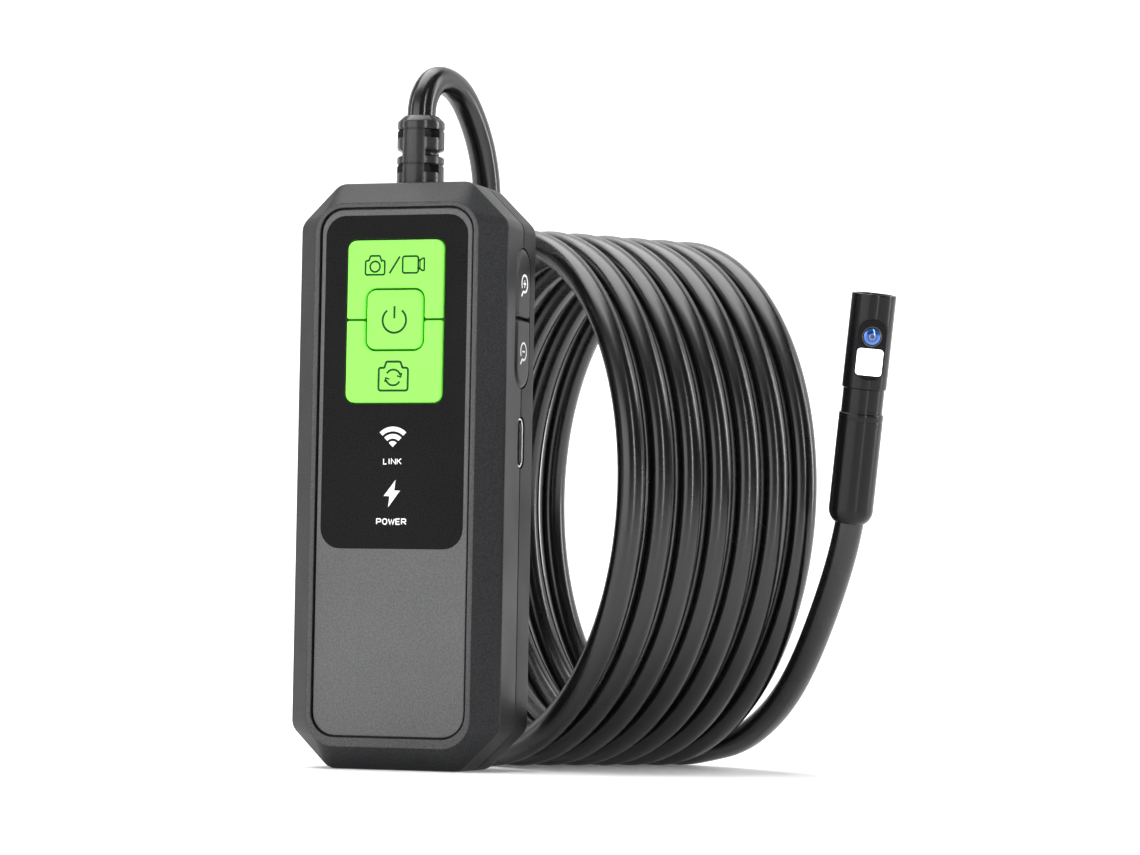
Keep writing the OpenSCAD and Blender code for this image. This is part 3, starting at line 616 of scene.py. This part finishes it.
KEY_TOP, PRINT_Y = -11.712, PLATE_Y - 0.068


def moved(points, u, v):
    return [(a + u, b + v) for a, b in points]


def camera_outline(w, h, step, hump, r):
    return rounded([
        (w, -h, r), (w, step, r), (hump + 0.35 * (h - step), step, r * 0.5), (hump, h, r * 0.8),
        (-hump, h, r * 0.8), (-hump - 0.35 * (h - step), step, r * 0.5), (-w, step, r), (-w, -h, r)], 4)


still = Part()
still.stroke(moved(camera_outline(1.85, 1.7, 0.85, 0.9, 0.32), -3.9, 90.6), 0.37, on_front, KEY_TOP, True)
still.stroke(arc(-3.9, 90.35, 0.95, 0, 352, 32), 0.37, on_front, KEY_TOP, True)
still.stroke(arc(-2.75, 91.2, 0.07, 0, 330, 8), 0.12, on_front, KEY_TOP, True)
still.stroke([(-1.1, 89.1), (0.85, 92.15)], 0.38, on_front, KEY_TOP)
still.stroke(rrect(1.5, 1.5, 0.4, 2.9, 90.65, 4), 0.37, on_front, KEY_TOP, True)
still.stroke([(4.4, 91.2), (4.75, 91.45), (5.2, 91.75), (5.5, 91.75), (5.55, 91.6), (5.55, 89.7),
              (5.5, 89.55), (5.2, 89.55), (4.75, 89.85), (4.4, 90.1)], 0.34, on_front, KEY_TOP)
still.stroke([(4.75, 91.4), (4.75, 89.9)], 0.22, on_front, KEY_TOP)
still.make("photo_icon", icon_ink, "photo_button", slot="key_green", solid=False, soften=False)

power = Part()
power.stroke(arc(0, 80.65, 2.25, 128, 412, 48), 0.42, on_front, KEY_TOP)
power.stroke([(0, 80.95), (0, 83.2)], 0.42, on_front, KEY_TOP)
power.make("power_icon", icon_ink, "power_button", slot="key_green", solid=False, soften=False)

turn_icon = Part()
turn_icon.stroke(moved(camera_outline(2.8, 2.6, 1.5, 1.35, 0.42), 0, 70.6), 0.42, on_front, KEY_TOP, True)
for half in (0, 180):
    turn_icon.stroke(arc(0, 70.35, 1.42, 150 + half, 18 + half, 20), 0.38, on_front, KEY_TOP)
    way = 1 if half == 0 else -1
    tip = np.array((1.42, 0.2)) * way + (0, 70.35)
    turn_icon.stroke([tip + np.array((-0.72, 0.1)) * way, tip + np.array((0, -0.12)) * way,
                      tip + np.array((0.2, 0.62)) * way], 0.32, on_front, KEY_TOP)
turn_icon.make("lens_icon", icon_ink, "lens_button", slot="key_green", solid=False, soften=False)

GLYPHS = {
    "L": [[(0, 1), (0, 0), (0.9, 0)]],
    "I": [[(0.5, 0), (0.5, 1)]],
    "N": [[(0, 0), (0, 1), (1, 0), (1, 1)]],
    "K": [[(0, 0), (0, 1)], [(0.95, 1), (0.05, 0.42)], [(0.3, 0.6), (1, 0)]],
    "P": [[(0, 0), (0, 1), (0.72, 1), (0.95, 0.88), (0.95, 0.57), (0.72, 0.45), (0, 0.45)]],
    "O": [[(0.3, 0), (0.7, 0), (0.97, 0.25), (0.97, 0.75), (0.7, 1), (0.3, 1), (0.03, 0.75), (0.03, 0.25),
           (0.3, 0)]],
    "W": [[(0, 1), (0.25, 0), (0.5, 0.85), (0.75, 0), (1, 1)]],
    "E": [[(0.95, 1), (0, 1), (0, 0), (0.95, 0)], [(0, 0.5), (0.85, 0.5)]],
    "R": [[(0, 0), (0, 1), (0.72, 1), (0.95, 0.88), (0.95, 0.57), (0.72, 0.45), (0, 0.45)],
          [(0.5, 0.45), (1, 0)]],
}


def caption(part, word, centre_v, width, height, weight, place, at):
    """Prints a word of GLYPHS, centred, in strokes of one weight."""
    widths = [{"I": 0.3, "W": 1.35, "L": 0.8, "E": 0.9}.get(c, 1.0) for c in word]
    gap = 0.38
    unit = width / (sum(widths) + gap * (len(word) - 1))
    u = -width / 2
    for c, w in zip(word, widths):
        for line in GLYPHS[c]:
            across = [0.5 * w if c == "I" else a * w for a, _ in line]
            points = [(u + a * unit, centre_v + (b - 0.5) * height) for a, (_, b) in zip(across, line)]
            part.stroke(points, weight, place, at)
        u += (w + gap) * unit


marks = Part()
APEX = 57.87
for inner, outer in ((0.0, 1.07), (1.53, 2.36), (2.84, 3.67)):
    edge = arc(0, APEX, outer, 134, 46, 20)
    near = arc(0, APEX, inner, 46, 134, 20) if inner else [(0, APEX)]
    marks.fill(edge + near, on_front, PRINT_Y)
bolt = [(0.67, 2.45), (0.46, 0.56), (1.54, 0.54), (-0.65, -2.44), (-0.44, -0.48), (-1.54, -0.4)]
marks.fill(moved(bolt, 0, 49.5), on_front, PRINT_Y)
caption(marks, "LINK", 55.3, 3.4, 0.95, 0.17, on_front, PRINT_Y)
caption(marks, "POWER", 44.5, 5.6, 0.95, 0.2, on_front, PRINT_Y)
marks.make("panel_marks", white_ink, slot="overlay", solid=False, soften=False)

# ---------------------------------------------------------------- zoom keys on the side


def zoom_cap(name, side, z, body, node):
    """One half of the oval field. side is 1 for the upper key and -1 for the lower one."""
    split_z, rear_y, front_y, end_r = 81.8, 4.78, -2.98, 3.82

    def outline(inset):
        near, far = split_z + side * (0.16 + min(inset, 0.4)), split_z + side * (12.68 - inset)
        corners = [
            (rear_y - inset, near, 0.3), (rear_y - inset, far, end_r - inset),
            (front_y + inset, far, end_r - inset), (front_y + inset, near, 0.3)]
        return rounded(corners[::side], 10)

    crown = (
        (0, 19.35), (0, 19.62), (0.12, 19.86), (0.55, 20.1), (0.75, 20.19), (1.0, 20.235), (1.3, 20.25))
    part = Part().loft([on_side(outline(inset), x) for inset, x in crown])
    stem = [(1.2, 19.45), (1.2, 16.95), (1.8, 16.95), (1.8, 16.35), (1.2, 16.35), (1.2, 15.9)]
    part.loft([on_side(circle(r, 32) + (ZOOM_Y, z), x) for r, x in stem])
    part.make(name, key_black, body, [node], "key_black")
    mark = Part()
    v = 88.1 if side > 0 else 75.8
    mark.stroke(arc(1.0, v, 1.55, -118, 214, 40), 0.4, on_side, 20.262)
    mark.stroke([(0.28, v - 1.4), (-0.6, v - 2.35)], 0.45, on_side, 20.262)
    mark.stroke([(0.3, v), (1.7, v)], 0.32, on_side, 20.262)
    if side > 0:
        mark.stroke([(1.0, v - 0.7), (1.0, v + 0.7)], 0.32, on_side, 20.263)
    mark.make(name + "_icon", white_ink, body, slot="key_black", solid=False, soften=False)


zoom_cap("zoom_in_cap", 1, ZOOM_IN_Z, "zoom_in_button", "zoom_in_key")
zoom_cap("zoom_out_cap", -1, ZOOM_OUT_Z, "zoom_out_button", "zoom_out_key")

# ---------------------------------------------------------------- ports


def port_rings(place, closed_end, mouth):
    """Drawn metal shell with a rolled lip, from the closed end to the mouth and back in."""
    way = 1 if mouth > closed_end else -1
    outer = rrect(4.47, 1.58, 1.5, 0.0, PORT_Y, 8)
    if place is on_side:
        outer = rrect(1.58, 4.47, 1.5, PORT_Y, CHARGE_Z, 8)
    lip = ((0, 0.12), (0.05, 0.03), (0.15, 0), (0.3, 0.04), (0.36, 0.16))
    rings = [place(outer, closed_end)]
    rings += [place(grow(outer, -inset), mouth - way * back) for inset, back in lip]
    return rings + [place(grow(outer, -0.36), closed_end + way * 0.8)]


Part().loft(port_rings(on_side, 12.4, 19.8)).make(
    "charge_port_shell", port_metal, stands_for=["charge_port"], slot="port_metal")
Part().loft(port_rings(on_level, 7.6, 0.2)).make(
    "data_port_shell", port_metal, stands_for=["data_port"], slot="port_metal")

# ---------------------------------------------------------------- strain relief

profile = [(2.1, 101.9), (5.0, 101.9), (5.0, 103.9), (3.2, 103.9), (3.2, 105.7), (4.3, 105.7)]
for z in (109.9, 116.3):
    profile += [(4.3, z - 0.14), (4.12, z - 0.02), (4.02, z), (4.02, z + 0.12), (4.3, z + 0.14)]
profile += [(4.3, 117.55)]
profile += [(4.27, 117.75), (4.18, 117.92), (3.3, 118.78), (3.15, 118.9), (2.95, 118.95), (2.62, 118.95)]
profile += [(2.62, 118.3), (2.1, 118.3)]
slots = []
for z in (108.4, 114.8):
    for m in (0, 180):
        for a0, a1 in ((-60, -17), (17, 60)):
            slots.append(Part().wedge([(2.6, z), (5.5, z), (5.5, z + 1.6), (2.6, z + 1.6)], m + a0, m + a1))
notch = [(2.95, 111.85), (5.6, 110.75), (5.6, 113.2), (2.95, 112.1)]
slots += [Part().wedge(notch, m - 58, m + 58, 24) for m in (0, 180)]
bore = [on_level(circle(2.1, 96), z) for z in (118.3, 101.9)]
Part().lathe(profile, 96, caps=False).loft(bore, caps=False).make(
    "relief_sleeve", relief_rubber, stands_for=["strain_relief"], slot="relief_rubber", cutters=slots,
    ease=(0.13, lambda x, y, z: 106.5 < z < 118.0 and x * x + y * y > 17.5))

# ---------------------------------------------------------------- probe, upright, window towards local +X

PROBE = (
    Matrix.Translation((0.0773, 0.0168, 0.0453))
    @ Matrix.Rotation(math.radians(-41.0), 4, "Z")
    @ Matrix.Rotation(math.radians(9.5), 4, "Y")
    @ Matrix.Rotation(math.radians(-27.0), 4, "Z")
)
NECK, HEAD, TIP = 20.4, 24.9, 41.9
LENS_UP, LAMP_UP = TIP - 7.5, TIP - 12.1


def round_edge(r, z, e, way, n=4):
    """Quarter round of size e at radius r and height z. way 1 rounds an upper edge, -1 a lower one."""
    turns = [math.pi / 2 * k / n for k in range(n + 1)]
    points = [(r - e * (1 - math.cos(a)), z - way * e * (1 - math.sin(a))) for a in turns]
    return points if way > 0 else points[::-1]


barrel = [(2.62, 3.0), (2.62, 0.5)]
barrel += [(1.0 + 3.0 * math.cos(a), 3.0 + 3.0 * math.sin(a)) for a in np.radians(np.linspace(-56, 0, 14))]
barrel += [(4.0, NECK - 1.5), (3.96, NECK - 1.42), (3.96, NECK - 1.34), (4.0, NECK - 1.26)]
barrel += round_edge(4.0, NECK, 0.18, 1) + [(3.4, NECK)]
pieces_on_cable = [
    Part().lathe(barrel, 72, caps=True).make(
        "probe_sleeve", probe_black, stands_for=["probe_barrel"], slot="probe_metal", matrix=PROBE,
        sharp=40),
    Part().lathe([
        (3.2, NECK - 2.5), (3.72, NECK - 2.5), (3.72, NECK + 0.5), (3.68, NECK + 0.6), (3.72, NECK + 0.7),
        (3.72, HEAD - 0.1), (3.2, HEAD - 0.1)], 72).make(
        "probe_neck", neck_black, stands_for=["neck_sleeve"], slot="neck_metal", matrix=PROBE),
]
head = [(3.2, HEAD)] + round_edge(4.0, HEAD, 0.15, -1) + round_edge(4.0, TIP, 0.22, 1)
head += [(3.3, TIP - 0.02), (3.2, TIP - 0.15), (3.2, TIP - 0.9)]
window = rrect(3.4, 5.5, 3.3, 0.0, HEAD + 7.2, 12)
pieces_on_cable.append(Part().lathe(head, 96).make(
    "probe_shell", probe_black, stands_for=["probe_head"], slot="probe_metal", matrix=PROBE,
    cutters=[Part().loft([on_side(window, 2.95), on_side(window, 5.5)])], sharp=40,
    ease=(0.08, lambda x, y, z: x > 2.9 and HEAD + 0.5 < z < HEAD + 13 and abs(y) < 2.9)))
glass = rrect(2.6, 5.35, 2.5, 0.0, HEAD + 7.2, 12)
pieces_on_cable.append(Part().slab(glass, on_side, 2.7, 3.0, 0.06).make(
    "window_pane", window_black, stands_for=["side_window"], slot="window_glass", matrix=PROBE))
pieces_on_cable.append(Part().slab(rrect(2.35, 2.4, 0.65, 0.0, LAMP_UP, 6), on_side, 2.95, 3.22, 0.08).make(
    "window_lamp", lamp_white, stands_for=["side_lamp"], slot="lamp", matrix=PROBE))


def lens_stack(name, matrix, radius, finish, nodes_for):
    """Domed front element in a dark stepped ring, its front towards local +Z."""
    bezel = ((0, -0.9), (0.25, -0.9), (0.25, 0.1), (0.2, 0.16), (0.08, 0.16), (0, 0.08))
    ring = Part().loft([on_level(circle(radius + out, 56), z) for out, z in bezel], loop=True).make(
        name + "_bezel", lens_ring, slot="lens", matrix=matrix)
    rise = np.radians(np.linspace(0, 88, 12))
    dome = [(radius, -0.3)] + [(radius * math.cos(a), 0.02 + 0.32 * radius * math.sin(a)) for a in rise]
    front_glass = Part().lathe(dome, 56).make(
        name, finish, stands_for=nodes_for, slot="lens", matrix=matrix)
    return [ring, front_glass]


facing_side = Matrix.Rotation(math.radians(90), 4, "Y")
to_side = PROBE @ Matrix.Translation((3.02 * MM, 0, LENS_UP * MM)) @ facing_side
side_glass = lens_finish("side_glass", (0, 0, 0.0003), 1.58 * MM)
pieces_on_cable += lens_stack("side_lens_glass", to_side, 1.58, side_glass, ["side_lens"])
to_tip = PROBE @ Matrix.Translation((0, 0, (TIP - 1.0) * MM))
tip_glass = lens_finish("tip_glass", (0, 0, 0.0003), 1.15 * MM)
pieces_on_cable += lens_stack("tip_lens_glass", to_tip, 1.15, tip_glass, ["front_lens", "tip_window"])
lamps = Part()
for x, y in arc(0, 0, 2.28, 0, 300, 5):
    lamps.slab(rrect(0.42, 0.5, 0.12, x, y, 3), on_level, TIP - 1.5, TIP - 0.95, 0.08)
pieces_on_cable.append(lamps.make(
    "tip_lamps", lamp_white, stands_for=["front_lamps"], slot="lamp", matrix=PROBE))
disc = [(1.42, TIP - 1.6), (1.42, TIP - 1.12), (3.18, TIP - 1.12), (3.18, TIP - 1.6)]
pieces_on_cable.append(Part().loft([on_level(circle(r, 56), z) for r, z in disc], loop=True).make(
    "tip_mask", window_black, slot="window_glass", matrix=PROBE))

# ---------------------------------------------------------------- cable

LEAD = [
    (0, 0, 119), (0, 0, 121.5), (0.5, 1.5, 124.5), (1, 4.5, 126.5), (2, 8.5, 126.5), (3, 12.5, 125),
    (4, 16, 121), (5, 18.5, 116), (5.5, 20.5, 110), (5.5, 21.5, 103.5), (4, 23, 97), (1, 26, 91),
    (-4, 30.5, 87.5), (-10, 35.5, 83.5), (-16.5, 41, 79.5), (-23, 47.5, 74.5), (-28, 52.5, 68),
    (-31.3, 56.5, 60),
]
TAIL = [
    (41, 54, 3.8), (48, 48, 5), (54.5, 42, 8.5), (60.5, 36, 13.5), (65.5, 30.5, 20), (69.5, 26, 27),
    (73, 22, 34), (75.8, 18.7, 40.5), (77.3, 16.8, 45.3), (77.8, 16.4, 48.3),
]
CABLE_R = 2.6
COIL_ANGLE, COIL_R, PITCH, TURNS, PER_TURN = math.radians(49), 48.0, 6.1, 7, 24
along = np.array((math.cos(COIL_ANGLE), math.sin(COIL_ANGLE), 0))
across = np.array((math.sin(COIL_ANGLE), -math.cos(COIL_ANGLE), 0))
# A cubic curve cuts inside its points, so the points stand on a slightly larger circle than the cable
guide_r = COIL_R * 6 / (4 + 2 * math.cos(2 * math.pi / PER_TURN))
coil_start = np.array((5.1, 27.8, COIL_R + CABLE_R))
coil = []
for i in range(-PER_TURN // 4, TURNS * PER_TURN + 1):
    t = i / PER_TURN
    a = 2 * math.pi * t
    centre = coil_start + along * PITCH * t
    coil.append(centre + across * guide_r * math.sin(a) - np.array((0, 0, 1)) * guide_r * math.cos(a))
route = np.array(LEAD + [tuple(p) for p in coil] + TAIL) * MM

cable_data = bpy.data.curves.new("cable", "CURVE")
cable_data.dimensions = "3D"
cable_data.bevel_depth = CABLE_R * MM
cable_data.bevel_resolution = 10
cable_data.resolution_u = 5
cable_data.use_fill_caps = True
spline = cable_data.splines.new("NURBS")
spline.points.add(len(route) - 1)
for point, at in zip(spline.points, route):
    point.co = (*at, 1.0)
spline.order_u = 4
spline.use_endpoint_u = True
cable = bpy.data.objects.new("cable", cable_data)
cable_data.materials.append(jacket)
bpy.context.scene.collection.objects.link(cable)
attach(cable, "camera_body")
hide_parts("cable_lead", "cable_coil", "cable_tail")

for name in ("probe_wires", "camera_board", "tip_board"):
    pieces_on_cable.append(nodes[name])

# ---------------------------------------------------------------- CAD nodes that stay in view

for entry in frame["record"]["subparts"]:
    finish = inside.get(entry["material_slot"])
    if finish:
        nodes[entry["node"]].data.materials.clear()
        nodes[entry["node"]].data.materials.append(finish)

# ---------------------------------------------------------------- stage and light

# Paper floor that curves up into a wall behind the object, in metres, its glow painted light that is dimmer
# near the object
floor_mesh = bpy.data.meshes.new("floor")
sweep = [(-9.0, 0.0), (1.2, 0.0)]
sweep += [(1.2 + 0.8 * math.sin(a), 0.8 - 0.8 * math.cos(a)) for a in np.radians(np.linspace(6, 90, 15))]
sweep += [(2.0, 3.0)]
wide = 9.0
floor_mesh.from_pydata(
    [(x, y, z) for y, z in sweep for x in (-wide, wide)], [],
    [(2 * i, 2 * i + 1, 2 * i + 3, 2 * i + 2) for i in range(len(sweep) - 1)])
floor_mesh.polygons.foreach_set("use_smooth", [True] * len(floor_mesh.polygons))
floor = bpy.data.objects.new("floor", floor_mesh)
bpy.context.scene.collection.objects.link(floor)
paper, tree, shader = node_tree("paper")
paper_place = tree.nodes.new("ShaderNodeTexCoord")
paper_noise = noise(tree, paper_place, 12.0)
paper_tone = tree.nodes.new("ShaderNodeMapRange")
paper_tone.inputs["To Min"].default_value = 0.93
paper_tone.inputs["To Max"].default_value = 0.96
tree.links.new(paper_noise.outputs["Fac"], paper_tone.inputs["Value"])
tree.links.new(paper_tone.outputs["Result"], shader.inputs["Base Color"])
shader.inputs["Roughness"].default_value = 0.9
shader.inputs["Specular IOR Level"].default_value = 0.1
shader.inputs["Emission Color"].default_value = (1, 1, 1, 1)
away = tree.nodes.new("ShaderNodeVectorMath")
away.operation = "LENGTH"
tree.links.new(paper_place.outputs["Object"], away.inputs[0])
# Painted light: the paper's glow, dimmer near the object and brighter away from it
painted_glow = tree.nodes.new("ShaderNodeMapRange")
for key, value in (("From Min", 0.25), ("From Max", 1.3), ("To Min", 0.08), ("To Max", 0.74)):
    painted_glow.inputs[key].default_value = value
tree.links.new(away.outputs["Value"], painted_glow.inputs["Value"])
tree.links.new(painted_glow.outputs["Result"], shader.inputs["Emission Strength"])
floor_mesh.materials.append(paper)

AIM = (0.02, 0.02, 0.06)


def panel(name, place, width, height, radiance):
    """Rectangular soft light of even radiance facing the object."""
    data = bpy.data.lights.new(name, "AREA")
    data.shape, data.size, data.size_y = "RECTANGLE", width, height
    data.energy = radiance * math.pi * width * height
    obj = bpy.data.objects.new(name, data)
    obj.location = place
    obj.rotation_mode = "QUATERNION"
    obj.rotation_quaternion = (Vector(AIM) - Vector(place)).to_track_quat("-Z", "Y")
    bpy.context.scene.collection.objects.link(obj)


def toward(azimuth, elevation, distance):
    """Point in a direction from the middle of the object."""
    a, e = math.radians(azimuth), math.radians(elevation)
    level_way = math.cos(e) * distance
    return Vector((math.sin(a) * level_way, -math.cos(a) * level_way, AIM[2] + math.sin(e) * distance))


panel("front_panel", toward(-26, 13, 1.3), 1.2, 0.68, 2.9)
panel("top_panel", (-0.25, 0.1, 1.15), 1.2, 1.0, 5.2)
panel("right_strip", toward(112, 22, 1.0), 0.10, 0.85, 17.0)
panel("left_strip", toward(-78, 22, 1.1), 0.10, 0.85, 9.0)
panel("edge_strip", toward(43, 14, 1.1), 0.035, 0.95, 38.0)

world = bpy.data.worlds.new("studio")
world.use_nodes = True
world.node_tree.nodes["Background"].inputs["Color"].default_value = (0.97, 0.98, 1.0, 1)
world.node_tree.nodes["Background"].inputs["Strength"].default_value = 0.06
bpy.context.scene.world = world
bpy.context.scene.view_settings.view_transform = "Standard"
